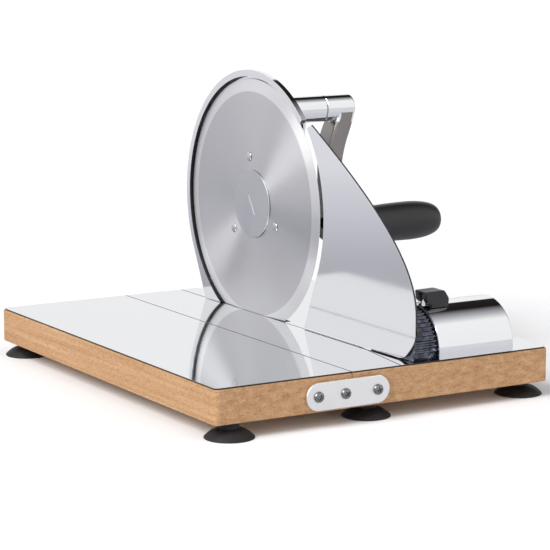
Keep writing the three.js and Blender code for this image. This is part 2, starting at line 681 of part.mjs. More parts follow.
/** Chrome arch over the guides, closed at the crank end, with a lug and a window for the clamp. */
function thicknessCover() {
  const outer = alongX(archOutline(UNIT.r, SEAT), UNIT.from, UNIT.to, 28);
  const inner = alongX(archOutline(UNIT.r - UNIT.wall, -5), UNIT.from - 2, UNIT.to - UNIT.wall, 28);
  const [screwX, screwY] = coverScrew;
  const boss = box(screwX - 4.5, UNIT.to - 1, screwY - 5.5, screwY + 5.5, SEAT, 18);
  const lug = join(
    box(LEVER.pivotX - 2.4, LEVER.pivotX + 2.4, LEVER.y - 2, LEVER.y + 2, 34.6, LEVER.pivotZ),
    rodY(2.8, LEVER.y - 2, LEVER.y + 2, LEVER.pivotX, LEVER.pivotZ, 20));
  return cut(
    join(cut(outer, inner), boss, lug),
    box(30.6, 37.4, LEVER.y - 3.5, LEVER.y + 3.5, 31, 40),
    rodY(1.8, LEVER.y - 8, LEVER.y + 8, LEVER.pivotX, LEVER.pivotZ, 16),
    rodZ(2.3, 0, 15, screwX, screwY, 12));
}

/** Clamp lever in (x, z): round eye over the pin, flat top, sloping nose, and skirts below the eye. */
function leverOutline() {
  const { pivotX, pivotZ, eye } = LEVER;
  const skirt = 33.6;
  const outline = new THREE.Shape();
  outline.moveTo(pivotX, skirt);
  outline.lineTo(41, skirt);
  outline.lineTo(41.6, 40);
  outline.lineTo(38.4, 45.2);
  outline.quadraticCurveTo(37.8, 46.2, 36.4, 46.2);
  outline.lineTo(22.8, 45.9);
  outline.quadraticCurveTo(21.9, 45.8, 22, 44.8);
  outline.lineTo(pivotX - eye, pivotZ);
  outline.absarc(pivotX, pivotZ, eye, Math.PI, 1.5 * Math.PI);
  outline.lineTo(pivotX, skirt);
  return outline;
}

function clampLever() {
  const half = LEVER.wide / 2;
  return cut(
    alongY(leverOutline(), LEVER.y - half, LEVER.y + half, 8),
    rodX(UNIT.r + LEVER.clear, 10, 60, UNIT.y, UNIT.z, 96),
    box(15, LEVER.pivotX + 3.5, LEVER.y - 2.7, LEVER.y + 2.7, 30, LEVER.pivotZ + 3.3),
    rodY(1.8, LEVER.y - 10, LEVER.y + 10, LEVER.pivotX, LEVER.pivotZ, 16));
}

piece('stop_plate', stopPlate(), polishedSteel);
piece('plate_sleeve', plateSleeve(), darkSleeve);
rodPlaces.forEach((y, i) => {
  piece(`guide_rod_${i + 1}`, rodX(ROD.r, ROD.from, ROD.to, y, ROD.z, 16), screwSteel);
});
piece('guide_block', guideBlock(), castAluminium);
blockScrews.forEach(([x, y], i) => screw(`block_screw_${i + 1}`, MACHINE_SCREW, [x, y, -17.4]));
piece('thickness_cover', thicknessCover(), chrome);
screw('cover_screw', MACHINE_SCREW, [coverScrew[0], coverScrew[1], -17.4]);
piece('clamp_lever', clampLever(), blackPlastic);
piece('clamp_pin', rodY(1.5, LEVER.y - 6.4, LEVER.y + 6.4, LEVER.pivotX, LEVER.pivotZ, 16), screwSteel);
piece('clamp_pad', box(31, 37, LEVER.y - 3.1, LEVER.y + 3.1, 34.5, 35.4), rubber);

// ---- stand the slicer on its feet, the middle of its outline over the origin ----

const outline = new THREE.Box3().setFromObject(slicer, true);
slicer.position.x = -(outline.min.x + outline.max.x) / 2;
slicer.position.y = -(outline.min.y + outline.max.y) / 2;
slicer.position.z = -outline.min.z;

export default slicer;
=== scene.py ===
import json
import math

import bmesh
import bpy
import numpy as np
from mathutils import Matrix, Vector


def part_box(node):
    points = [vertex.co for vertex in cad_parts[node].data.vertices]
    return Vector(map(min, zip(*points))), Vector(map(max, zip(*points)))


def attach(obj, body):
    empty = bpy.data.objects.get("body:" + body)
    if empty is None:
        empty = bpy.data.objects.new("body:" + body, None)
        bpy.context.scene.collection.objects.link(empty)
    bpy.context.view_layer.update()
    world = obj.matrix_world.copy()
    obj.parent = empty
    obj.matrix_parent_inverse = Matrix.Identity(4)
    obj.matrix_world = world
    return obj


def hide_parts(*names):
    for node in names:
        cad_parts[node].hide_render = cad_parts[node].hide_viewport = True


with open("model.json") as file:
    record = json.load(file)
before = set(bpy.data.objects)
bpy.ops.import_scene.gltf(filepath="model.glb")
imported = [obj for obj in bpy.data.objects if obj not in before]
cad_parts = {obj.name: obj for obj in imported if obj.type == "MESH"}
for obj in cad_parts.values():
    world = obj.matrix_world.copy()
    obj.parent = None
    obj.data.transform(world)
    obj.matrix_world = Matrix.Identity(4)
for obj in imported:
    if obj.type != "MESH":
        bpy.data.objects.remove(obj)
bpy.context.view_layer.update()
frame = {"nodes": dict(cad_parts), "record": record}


# ---- where things are ----
# Sizes below are in millimetres from one corner that every piece shares: the blade's front face in X,
# the blade's axis in Y, and the top of the wooden boards in Z. All three are read from the frame.

blade_low, blade_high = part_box("blade")
board_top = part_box("left_board")[1].z
CORNER = np.array([blade_low.x, (blade_low.y + blade_high.y) / 2, board_top])
AXIS_Z = ((blade_low.z + blade_high.z) / 2 - board_top) * 1000


def metres(points):
    """Points in millimetres from the shared corner, as metres in the frame."""
    return CORNER + 0.001 * np.asarray(points, float)


def millimetres(node):
    """A CAD node's lowest and highest corner, in millimetres from the shared corner."""
    low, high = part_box(node)
    return (np.array(low) - CORNER) * 1000, (np.array(high) - CORNER) * 1000


def middle_of(node):
    """The middle of a CAD node's box, in millimetres from the shared corner."""
    low, high = millimetres(node)
    return (low + high) / 2


# ---- camera ----
# A long lens from the front left, 1.8 m away and tilted 10 degrees down, so that the near and far edges of
# the boards come out almost parallel.

camera = bpy.data.objects.new("camera", bpy.data.cameras.new("camera"))
bpy.context.scene.collection.objects.link(camera)
camera.location = (-0.90894, -1.50440, 0.38120)
camera.rotation_euler = (math.radians(80.066), 0, math.radians(-30.817))
camera.data.lens = 156.97
camera.data.sensor_width = 36
camera.data.clip_end = 60
bpy.context.scene.camera = camera
bpy.context.scene.view_settings.view_transform = "Standard"


# ---- studio ----
# A white floor under a white dome. A dark gap high up behind draws the dark band along the top of every
# chrome tube. Chrome sees a second, grey floor in place of the white one, as it would see grey cards.

def linear(colour):
    """An sRGB hex colour as linear RGBA."""
    parts = np.array([int(colour[i:i + 2], 16) for i in (1, 3, 5)]) / 255
    low, high = parts / 12.92, ((parts + 0.055) / 1.055) ** 2.4
    return (*np.where(parts <= 0.04045, low, high), 1.0)


def add(tree, kind, links=None, **settings):
    """Adds a node with its settings; `links` maps an input to a value or to another node's output."""
    made = tree.nodes.new(kind)
    for name, value in settings.items():
        setattr(made, name, value)
    for socket, value in (links or {}).items():
        if isinstance(value, bpy.types.NodeSocket):
            tree.links.new(value, made.inputs[socket])
        else:
            made.inputs[socket].default_value = value
    return made


def ramp(tree, factor, stops):
    """A colour ramp through (position, sRGB hex) stops."""
    made = add(tree, "ShaderNodeValToRGB", {"Fac": factor})
    elements = made.color_ramp.elements
    while len(elements) < len(stops):
        elements.new(0.5)
    for element, (position, colour) in zip(elements, stops):
        element.position, element.color = position, linear(colour)
    return made.outputs["Color"]


def studio_world():
    """Dome whose brightness follows the angle in the vertical plane: 0 behind, then over the top, and 1 in
    front."""
    world = bpy.data.worlds.new("studio_dome")
    world.use_nodes = True
    tree = world.node_tree
    tree.nodes.clear()
    way = add(tree, "ShaderNodeSeparateXYZ", {0: add(tree, "ShaderNodeTexCoord").outputs["Generated"]})
    angle = add(tree, "ShaderNodeMath", {0: way.outputs["Z"], 1: way.outputs["Y"]}, operation="ARCTAN2")
    share = add(tree, "ShaderNodeMath", {0: angle.outputs[0], 1: math.pi}, operation="DIVIDE")
    colour = ramp(tree, share.outputs[0], [
        (0.0, "#f2f2f4"), (0.225, "#ffffff"), (0.24, "#2a2625"), (0.42, "#1f1c1c"), (0.45, "#5c5c60"),
        (0.56, "#bcbcc0"), (0.66, "#ffffff"), (1.0, "#fbfbfb")])
    light = add(tree, "ShaderNodeBackground", {"Color": colour, "Strength": 1.05})
    add(tree, "ShaderNodeOutputWorld", {"Surface": light.outputs[0]})
    return world


bpy.context.scene.world = studio_world()

sun_data = bpy.data.lights.new("soft_key", "SUN")
sun_data.energy = 2.8
sun_data.angle = math.radians(40)
sun = bpy.data.objects.new("soft_key", sun_data)
sun.rotation_euler = (math.radians(6), math.radians(-49), 0)
bpy.context.scene.collection.objects.link(sun)


def paper(name, stops):
    """Matt paper whose tone changes away from the object, back and to the left, in (metres, sRGB hex) stops.
    Paper gives the eye no highlight at all."""
    made = bpy.data.materials.new(name)
    made.use_nodes = True
    tree = made.node_tree
    place = add(tree, "ShaderNodeTexCoord").outputs["Object"]
    back_left = (-0.52, 0.85, 0)
    away = add(tree, "ShaderNodeVectorMath", {0: place, 1: back_left}, operation="DOT_PRODUCT")
    start, end = stops[0][0], stops[-1][0]
    share = add(tree, "ShaderNodeMapRange", {0: away.outputs["Value"], 1: start, 2: end})
    evened = [((at - start) / (end - start), colour) for at, colour in stops]
    tone = ramp(tree, share.outputs[0], evened)
    shader = tree.nodes["Principled BSDF"]
    tree.links.new(tone, shader.inputs["Base Color"])
    shader.inputs["Roughness"].default_value = 0.9
    shader.inputs["Specular IOR Level"].default_value = 0.0
    return made


def studio_floor(name, surface, height):
    """A square floor about the object."""
    half = 15
    floor = bpy.data.objects.new(name, bpy.data.meshes.new(name))
    corners = [(x * half, y * half, height) for x, y in ((-1, -1), (1, -1), (1, 1), (-1, 1))]
    floor.data.from_pydata(corners, [], [(0, 1, 2, 3)])
    floor.data.materials.append(surface)
    bpy.context.scene.collection.objects.link(floor)
    return floor


white_paper = paper("white_paper", [(0.0, "#f6f6f7"), (6.0, "#f8f8f8")])
grey_paper = paper("grey_paper", [
    (-0.5, "#f4f4f6"), (-0.1, "#e2e2e6"), (0.08, "#b4b4b9"), (0.5, "#c6c6cb"), (0.8, "#dedee3"),
    (1.2, "#f6f6f8"), (4.0, "#fafafc")])
JUST_BELOW = -0.0006
white_floor = studio_floor("white_floor", white_paper, 0)
white_floor.visible_glossy = False
grey_floor = studio_floor("grey_floor", grey_paper, JUST_BELOW)
grey_floor.visible_camera = grey_floor.visible_diffuse = grey_floor.visible_shadow = False


# ---- boards ----
# Two slabs of solid beech, planed, oiled and with their arrises just broken. The grain runs front to back,
# so the front edge shows end grain. Foot, plate and machine screws go into them.

def arc(centre, radius, start, end, count):
    """Points of a circular arc from angle start to angle end, in degrees."""
    turn = np.radians(np.linspace(start, end, count))
    return np.column_stack([centre[0] + radius * np.cos(turn), centre[1] + radius * np.sin(turn)])


def rectangle(x0, x1, y0, y1, corners):
    """Outline of a rectangle with four quarter-circle corners. Their radii are given in the order left-front,
    right-front, right-back, left-back."""
    middles = [(x0, y0, 1, 1, 180), (x1, y0, -1, 1, 270), (x1, y1, -1, -1, 0), (x0, y1, 1, -1, 90)]
    rounds = []
    for (x, y, right, up, start), radius in zip(middles, corners):
        count = 10 if radius > 0 else 1
        rounds.append(arc((x + right * radius, y + up * radius), radius, start, start + 90, count))
    return np.vstack(rounds)


def banded(outline, rings, along="z"):
    """Surface of a plate. Each ring (inset, height) is the outline moved inwards by inset along the
    bisector of its neighbouring edges, divided by the cosine of half their turn, at that height."""
    outline = np.asarray(outline, float)
    ahead = np.roll(outline, -1, axis=0) - outline
    next_x, next_y = np.roll(outline, -1, axis=0).T
    area = np.sum(outline[:, 0] * next_y - next_x * outline[:, 1])
    normal = np.column_stack([ahead[:, 1], -ahead[:, 0]]) * np.sign(area)
    normal /= np.linalg.norm(normal, axis=1)[:, None]
    before = np.roll(normal, 1, axis=0)
    bisector = (normal + before) / (1 + np.sum(normal * before, axis=1))[:, None]
    inset, height = np.asarray(rings, float).T
    flat = outline[None] - inset[:, None, None] * bisector[None]
    rise = np.broadcast_to(height[:, None], flat.shape[:2])
    order = {"x": [rise, flat[..., 0], flat[..., 1]], "y": [flat[..., 0], rise, flat[..., 1]],
             "z": [flat[..., 0], flat[..., 1], rise]}
    points = np.stack(order[along], axis=-1)
    rows, count = points.shape[:2]
    first = np.arange(count)
    ends = [first.tolist(), (first + (rows - 1) * count).tolist()]
    return points.reshape(-1, 3), quads(rows, count) + ends


def quads(rows, columns):
    """Corner numbers of the four-sided faces of a grid whose rows are closed rings."""
    across = np.arange(columns)
    down = np.arange(rows - 1)[:, None]
    beside = (across + 1) % columns
    corner = [down * columns + across, down * columns + beside,
              (down + 1) * columns + beside, (down + 1) * columns + across]
    return np.stack(corner, axis=-1).reshape(-1, 4).tolist()


def rounded_rings(bottom, top, radius, steps=4):
    """Rings of a plate from bottom to top, with both edges rounded by a quarter circle."""
    turn = np.linspace(0, math.pi / 2, steps)
    inset, rise = radius * (1 - np.sin(turn)), radius * (1 - np.cos(turn))
    low = np.column_stack([inset, bottom + rise])
    high = np.column_stack([inset, top - rise])[::-1]
    return np.vstack([low, high])


def mesh_of(name, shells):
    """One mesh of several closed shells in millimetres, doubles merged and normals turned outwards."""
    work = bmesh.new()
    for points, faces in shells:
        corners = [work.verts.new(p) for p in metres(points).tolist()]
        for face in faces:
            work.faces.new([corners[i] for i in face])
    bmesh.ops.remove_doubles(work, verts=work.verts, dist=2e-6)
    bmesh.ops.dissolve_degenerate(work, edges=work.edges, dist=1e-7)
    bmesh.ops.recalc_face_normals(work, faces=work.faces)
    mesh = bpy.data.meshes.new(name)
    work.to_mesh(mesh)
    work.free()
    return mesh


def carve(piece, *cutters):
    """Cuts closed shells, in millimetres, out of a piece."""
    tool = bpy.data.objects.new("cutter", mesh_of("cutter", cutters))
    bpy.context.scene.collection.objects.link(tool)
    modifier = piece.modifiers.new("carve", "BOOLEAN")
    modifier.object, modifier.operation, modifier.solver = tool, "DIFFERENCE", "EXACT"
    modifier.use_self = len(cutters) > 1
    found = piece.evaluated_get(bpy.context.evaluated_depsgraph_get())
    cut = bpy.data.meshes.new_from_object(found)
    piece.modifiers.clear()
    piece.data = cut
    bpy.data.objects.remove(tool)


def flatten(piece):
    """Gives each corner the normal of its largest faces, so flat faces mirror flatly up to a rounded edge."""
    weighted = piece.modifiers.new("flat_faces", "WEIGHTED_NORMAL")
    weighted.mode, weighted.weight, weighted.keep_sharp = "FACE_AREA", 100, True


def grow(piece, shells):
    """Adds more closed shells, in millimetres, to a piece."""
    work = bmesh.new()
    work.from_mesh(piece.data)
    more = mesh_of("more", shells)
    work.from_mesh(more)
    work.to_mesh(piece.data)
    work.free()
    bpy.data.meshes.remove(more)


def add_piece(name, shells, surface, body, nodes=(), sharp=35, cutters=(), lugs=()):
    """A finished piece: its shells less the cutters and then with the lugs, its material, the body it rides
    on and the CAD nodes it stands for. Edges that turn by more than `sharp` degrees stay sharp."""
    piece = bpy.data.objects.new(name, mesh_of(name, shells))
    bpy.context.scene.collection.objects.link(piece)
    if cutters:
        carve(piece, *cutters)
    if lugs:
        grow(piece, lugs)
    piece.data.polygons.foreach_set("use_smooth", np.ones(len(piece.data.polygons), bool))
    piece.data.set_sharp_from_angle(angle=math.radians(sharp))
    piece.data.materials.clear()
    piece.data.materials.append(surface)
    flatten(piece)
    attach(piece, body)
    if nodes:
        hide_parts(*nodes)
    return piece


def block(x0, x1, y0, y1, z0, z1):
    """A plain box as a closed shell."""
    return banded([(x0, y0), (x1, y0), (x1, y1), (x0, y1)], [(0, z0), (0, z1)])


def shader_of(name):
    """A new node material and its tree, Principled shader and Object coordinates."""
    made = bpy.data.materials.new(name)
    made.use_nodes = True
    tree = made.node_tree
    return made, tree, tree.nodes["Principled BSDF"], add(tree, "ShaderNodeTexCoord").outputs["Object"]


def oiled_beech():
    """Beech, sawn and planed, with oil: warm tan, wide soft growth bands, and the short dark rays that
    every cut of beech shows as flecks. Satin, with open pores that barely catch the light."""
    made, tree, shader, place = shader_of("oiled_beech")
    band_place = add(tree, "ShaderNodeMapping", {"Vector": place, "Scale": (120, 7, 260)})
    bands = add(tree, "ShaderNodeTexNoise", {"Vector": band_place.outputs[0], "Scale": 1.0, "Detail": 5.0})
    fleck_place = add(tree, "ShaderNodeMapping", {"Vector": place, "Scale": (520, 230, 1500)})
    flecks = add(tree, "ShaderNodeTexNoise", {"Vector": fleck_place.outputs[0], "Scale": 1.0, "Detail": 2.5})
    pore_place = add(tree, "ShaderNodeMapping", {"Vector": place, "Scale": (1500, 260, 1900)})
    pores = add(tree, "ShaderNodeTexNoise", {"Vector": pore_place.outputs[0], "Scale": 1.0, "Detail": 1.0})
    base = ramp(tree, bands.outputs["Fac"], [(0.3, "#a8805a"), (0.5, "#b68f67"), (0.7, "#c19d78")])
    dark = ramp(tree, flecks.outputs["Fac"], [(0.32, "#b08f74"), (0.5, "#ffffff"), (1.0, "#ffffff")])
    fine = ramp(tree, pores.outputs["Fac"], [(0.3, "#c8a584"), (0.52, "#ffffff")])
    mixed = add(tree, "ShaderNodeMix", {0: 0.4, 6: base, 7: dark}, data_type="RGBA", blend_type="MULTIPLY")
    shown = add(tree, "ShaderNodeMix", {0: 0.45, 6: mixed.outputs[2], 7: fine}, data_type="RGBA",
                blend_type="MULTIPLY")
    tree.links.new(shown.outputs[2], shader.inputs["Base Color"])
    rough = add(tree, "ShaderNodeMapRange", {0: flecks.outputs["Fac"], 3: 0.5, 4: 0.66})
    tree.links.new(rough.outputs[0], shader.inputs["Roughness"])
    relief = add(tree, "ShaderNodeBump",
                 {"Height": pores.outputs["Fac"], "Strength": 0.18, "Distance": 0.0002})
    tree.links.new(relief.outputs[0], shader.inputs["Normal"])
    shader.inputs["Specular IOR Level"].default_value = 0.35
    return made


beech = oiled_beech()
left_low, left_high = millimetres("left_board")
right_low, right_high = millimetres("right_board")
BOARD = {"corner": 4, "joint": 0.2, "edge": 0.7}
outside, inside = BOARD["corner"], BOARD["joint"]
board_rings = rounded_rings(left_low[2], 0, BOARD["edge"])
left_outline = rectangle(left_low[0], left_high[0], left_low[1], left_high[1],
                         [outside, inside, inside, outside])
right_outline = rectangle(right_low[0], right_high[0], right_low[1], right_high[1],
                          [inside, outside, outside, inside])
add_piece("board_left", [banded(left_outline, board_rings)], beech, "base", ["left_board"])
POCKET = {"x": (-1.5, 6.5), "y": (-46, 50), "deep": 14}
blade_pocket = block(*POCKET["x"], *POCKET["y"], -POCKET["deep"], 5)
add_piece("board_right", [banded(right_outline, board_rings)], beech, "base", ["right_board"],
          cutters=[blade_pocket])


# ---- sheets on the boards ----
# Stainless steel, 0.8 mm, polished to a mirror and glued down. A seam runs along the joint of the boards
# and another along the blade, and the strip between them is cut off at a slant in front.

def polished_steel(name, tone, rough):
    """Mirror-polished stainless: neutral and bright, with the faintest long polishing lines."""
    made, tree, shader, place = shader_of(name)
    line_place = add(tree, "ShaderNodeMapping", {"Vector": place, "Scale": (900, 12, 900)})
    lines = add(tree, "ShaderNodeTexNoise", {"Vector": line_place.outputs[0], "Scale": 1.0, "Detail": 2.0})
    cloud = add(tree, "ShaderNodeTexNoise", {"Vector": place, "Scale": 9.0, "Detail": 1.0})
    both = add(tree, "ShaderNodeMath", {0: lines.outputs["Fac"], 1: cloud.outputs["Fac"]}, operation="ADD")
    soft = add(tree, "ShaderNodeMapRange",
               {0: both.outputs[0], 1: 0.6, 2: 1.4, 3: rough * 0.6, 4: rough * 1.4})
    tree.links.new(soft.outputs[0], shader.inputs["Roughness"])
    shader.inputs["Base Color"].default_value = linear(tone)
    shader.inputs["Metallic"].default_value = 1.0
    return made


def seam_shade_edge_finish():
    """Dark, dull and slightly torn edge of a steel sheet. The dark tone is painted shade, which draws the
    seams between the sheets as shadowed gaps.
    """
    made, tree, shader, place = shader_of("seam_shade_edge_finish")
    tear = add(tree, "ShaderNodeTexNoise", {"Vector": place, "Scale": 900.0, "Detail": 2.0})
    tree.links.new(ramp(tree, tear.outputs["Fac"], [(0.3, "#2c2b2e"), (0.7, "#4a494d")]),
                   shader.inputs["Base Color"])
    soft = add(tree, "ShaderNodeMapRange", {0: tear.outputs["Fac"], 3: 0.45, 4: 0.7})
    tree.links.new(soft.outputs[0], shader.inputs["Roughness"])
    shader.inputs["Metallic"].default_value = 0.6
    return made


def edge_in(piece, surface, face_axis):
    """Gives a second material to every face of a piece that doesn't look along axis 0, 1 or 2."""
    mesh = piece.data
    mesh.materials.append(surface)
    normals = np.zeros(len(mesh.polygons) * 3)
    mesh.polygons.foreach_get("normal", normals)
    sideways = np.abs(normals.reshape(-1, 3)[:, face_axis]) < 0.6
    mesh.polygons.foreach_set("material_index", sideways.astype(np.int32))


# Edge faces of the sheets and the plate: a dull cut edge, darkened as painted shade so the seams show as dark
# lines.
cut_edge_and_seam_shade = seam_shade_edge_finish()
sheet_steel = polished_steel("polished_sheet_steel", "#e6e7e9", 0.07)
sheet_low, sheet_high = millimetres("left_sheet")
strip_low, strip_high = millimetres("strip_sheet")
crank_low, crank_high = millimetres("right_sheet")
SHEET = {"corner": 3.5, "joint": 0.1, "edge": 0.2}
SLANT = {"front_x": -10.6, "side_y": -150}
sheet_rings = rounded_rings(sheet_low[2], sheet_high[2], SHEET["edge"], 3)


def add_sheet(name, outline, node):
    """A sheet of the given outline, with the dark edge material round it: a dull cut edge, and painted shade
    in the seams.
    """
    sheet = add_piece(name, [banded(outline, sheet_rings)], sheet_steel, "base", [node])
    edge_in(sheet, cut_edge_and_seam_shade, 2)


left_sheet = rectangle(sheet_low[0], sheet_high[0], sheet_low[1], sheet_high[1],
                       [SHEET["corner"], SHEET["joint"], SHEET["joint"], SHEET["corner"]])
add_sheet("sheet_left", left_sheet, "left_sheet")
add_sheet("sheet_strip", [
    (strip_low[0], strip_low[1]), (SLANT["front_x"], strip_low[1]), (strip_high[0], SLANT["side_y"]),
    (strip_high[0], strip_high[1]), (strip_low[0], strip_high[1])], "strip_sheet")
seam_x = -strip_high[0]
notch = [(seam_x, POCKET["y"][1]), (POCKET["x"][1], POCKET["y"][1]), (POCKET["x"][1], POCKET["y"][0]),
         (seam_x, POCKET["y"][0]), (seam_x, SLANT["side_y"])]
crank_outline = rectangle(crank_low[0], crank_high[0], crank_low[1], crank_high[1],
                          [0, SHEET["corner"], SHEET["corner"], 0])
crank_outline[-1, 0] = seam_x
add_sheet("sheet_right", np.vstack([crank_outline, notch]), "right_sheet")


# ---- joining plates and their screws ----
# A stamped steel strip with round ends, zinc plated, over the seam of the boards at the front and the back.
# Three pan-head wood screws with cross recesses hold each one.

def plated(name, tone, rough, grain, relief):
    """Plated or ground metal with an even satin: a fine grain of the given size in millimetres."""
    made, tree, shader, place = shader_of(name)
    speck = add(tree, "ShaderNodeTexNoise", {"Vector": place, "Scale": 1000 / grain, "Detail": 2.0})
    cloud = add(tree, "ShaderNodeTexNoise", {"Vector": place, "Scale": 40.0, "Detail": 2.0})
    both = add(tree, "ShaderNodeMath", {0: speck.outputs["Fac"], 1: cloud.outputs["Fac"]}, operation="ADD")
    soft = add(tree, "ShaderNodeMapRange",
               {0: both.outputs[0], 1: 0.6, 2: 1.4, 3: rough * 0.8, 4: rough * 1.2})
    bump = add(tree, "ShaderNodeBump",
               {"Height": speck.outputs["Fac"], "Strength": relief, "Distance": 0.0001})
    tree.links.new(soft.outputs[0], shader.inputs["Roughness"])
    tree.links.new(bump.outputs[0], shader.inputs["Normal"])
    shader.inputs["Base Color"].default_value = linear(tone)
    shader.inputs["Metallic"].default_value = 1.0
    return made


def turned(profile, centre, along="x", sides=96):
    """Closed surface of revolution: each profile point (radius, place) goes round the axis through centre. A
    profile that ends where it starts makes a ring, and any other one has both its ends on the axis."""
    profile = np.asarray(profile, float)
    turn = np.linspace(0, 2 * math.pi, sides, endpoint=False)
    radius, place = profile[:, :1], np.broadcast_to(profile[:, 1:], (len(profile), sides))
    across, up = centre[0] + radius * np.cos(turn), centre[1] + radius * np.sin(turn)
    order = {"x": [place, across, up], "y": [across, place, up], "z": [across, up, place]}
    points = np.stack(order[along], axis=-1)
    rows, here = len(profile), np.arange(sides)
    ahead = (here + 1) % sides
    if np.allclose(profile[0], profile[-1]):
        last = (rows - 2) * sides
        seam = np.column_stack([last + here, last + ahead, ahead, here])
        return points[:-1].reshape(-1, 3), quads(rows - 1, sides) + seam.tolist()
    inner = points[1:-1].reshape(-1, 3)
    last = (rows - 3) * sides
    start = np.column_stack([np.full(sides, len(inner)), ahead, here])
    end = np.column_stack([np.full(sides, len(inner) + 1), last + here, last + ahead])
    faces = quads(rows - 2, sides) + start.tolist() + end.tolist()
    return np.vstack([inner, points[0, 0], points[-1, 0]]), faces


zinc = plated("satin_zinc_plate", "#f6f6f5", 0.42, 0.5, 0.12)
screw_steel = plated("bright_screw_steel", "#858588", 0.2, 0.3, 0.2)
JOINER_EDGE = 0.6
WOOD_SCREW = {"r": 3.8, "dome": 2.2, "shank": 1.6, "long": 14, "slot": 0.8, "reach": 2.1, "deep": 1.5}


def pan_head(outwards, under):
    """Half-ellipse head from the plane `under`, facing `outwards` (1 or -1) along Y, on a tapered shank."""
    turn = np.linspace(0, math.pi / 2, 9)
    rise = WOOD_SCREW["dome"] * np.cos(turn)
    head = np.column_stack([WOOD_SCREW["r"] * np.sin(turn), under + outwards * rise])
    shank, tip = WOOD_SCREW["shank"], under - outwards * WOOD_SCREW["long"]
    return np.vstack([head, [(WOOD_SCREW["r"], under), (shank, under), (shank * 0.8, tip), (0, tip)]])


def cross_recess(middle, degrees):
    """Outline of a plus sign about the middle, turned by an angle."""
    slot, reach = WOOD_SCREW["slot"] / 2, WOOD_SCREW["reach"]
    plus = np.array([
        (-reach, -slot), (-slot, -slot), (-slot, -reach), (slot, -reach), (slot, -slot), (reach, -slot),
        (reach, slot), (slot, slot), (slot, reach), (-slot, reach), (-slot, slot), (-reach, slot)])
    cosine, sine = math.cos(math.radians(degrees)), math.sin(math.radians(degrees))
    return plus @ np.array([[cosine, -sine], [sine, cosine]]) + middle


for end, outwards in (("front", -1), ("rear", 1)):
    low, high = millimetres(f"{end}_joining_plate")
    radius = (high[2] - low[2]) / 2
    middle_z = (high[2] + low[2]) / 2
    stadium = np.vstack([arc((high[0] - radius, middle_z), radius, -90, 90, 25),
                         arc((low[0] + radius, middle_z), radius, 90, 270, 25)])
    strip = banded(stadium, rounded_rings(low[1], high[1], JOINER_EDGE), "y")
    add_piece(f"joiner_{end}", [strip], zinc, "base", [f"{end}_joining_plate"])
    for number in (1, 2, 3):
        node = f"{end}_plate_screw_{number}"
        screw_low, screw_high = millimetres(node)
        middle = middle_of(node)[[0, 2]]
        face = screw_low[1] if outwards < 0 else screw_high[1]
        shell = turned(pan_head(outwards, face - outwards * WOOD_SCREW["dome"]), middle, "y", 40)
        start, stop = sorted((face + outwards, face - outwards * WOOD_SCREW["deep"]))
        recess = banded(cross_recess(middle, 25 * number), [(0, start), (0, stop)], "y")
        add_piece(f"joiner_screw_{end}_{number}", [shell], screw_steel, "base", [node],
                  cutters=[recess])


# ---- feet ----
# Moulded rubber suction feet: a short neck under the board, and a thin bell that flares to a flat rim. A
# screw up through each one holds it.

def moulded_rubber():
    """Black rubber from a sandblasted mould: dull, very slightly brown, with a faint bloom."""
    made, tree, shader, place = shader_of("moulded_rubber")
    bloom = add(tree, "ShaderNodeTexNoise", {"Vector": place, "Scale": 90.0, "Detail": 4.0})
    tree.links.new(ramp(tree, bloom.outputs["Fac"], [(0.35, "#0d0a0b"), (0.7, "#171314")]),
                   shader.inputs["Base Color"])
    rough = add(tree, "ShaderNodeMapRange", {0: bloom.outputs["Fac"], 3: 0.5, 4: 0.72})
    tree.links.new(rough.outputs[0], shader.inputs["Roughness"])
    grit = add(tree, "ShaderNodeTexNoise", {"Vector": place, "Scale": 2200.0, "Detail": 1.0})
    relief = add(tree, "ShaderNodeBump", {"Height": grit.outputs["Fac"], "Strength": 0.2, "Distance": 0.0001})
    tree.links.new(relief.outputs[0], shader.inputs["Normal"])
    return made


rubber = moulded_rubber()
FOOT = {"r": 17.2, "neck": 7, "bore": 2.2, "recess": 6.2, "bell": 5.6, "hollow": 2.6}


def foot_profile(low, high):
    """(radius, height): neck, a bell that bulges as a parabola out to the rim, and a hollow underside."""
    rim, neck, bore, recess = FOOT["r"], FOOT["neck"], FOOT["bore"], FOOT["recess"]
    share = np.linspace(0, 1, 14)
    bell = np.column_stack([neck + (rim - neck - 0.1) * share, low + 0.9 + FOOT["bell"] * (1 - share ** 1.9)])
    edge = [(rim, low + 0.6), (rim, low + 0.3), (rim - 0.2, low)]
    flat = rim - 1.6
    under = np.column_stack([flat + (recess - flat) * share,
                             low + FOOT["hollow"] * np.sin(share * math.pi / 2)])
    socket = [(recess, low + 5.6), (bore, low + 5.6), (bore, high)]
    return np.vstack([[(bore, high), (neck - 0.4, high), (neck, high - 0.4)], bell, edge, under, socket])


for side in ("left", "middle", "right"):
    for end in ("front", "rear"):
        node = f"foot_{end}_{side}"
        low, high = millimetres(node)
        shell = turned(foot_profile(low[2], high[2]), middle_of(node)[:2], "z", 64)
        add_piece(f"suction_{node}", [shell], rubber, "base", [node])


# ---- machine housing ----
# One casting, ground and chromed: the guard ring round the blade, its leg, and behind it the drum that holds
# the gears, the blade boss with its ribs, and the foot that two screws hold to the board.

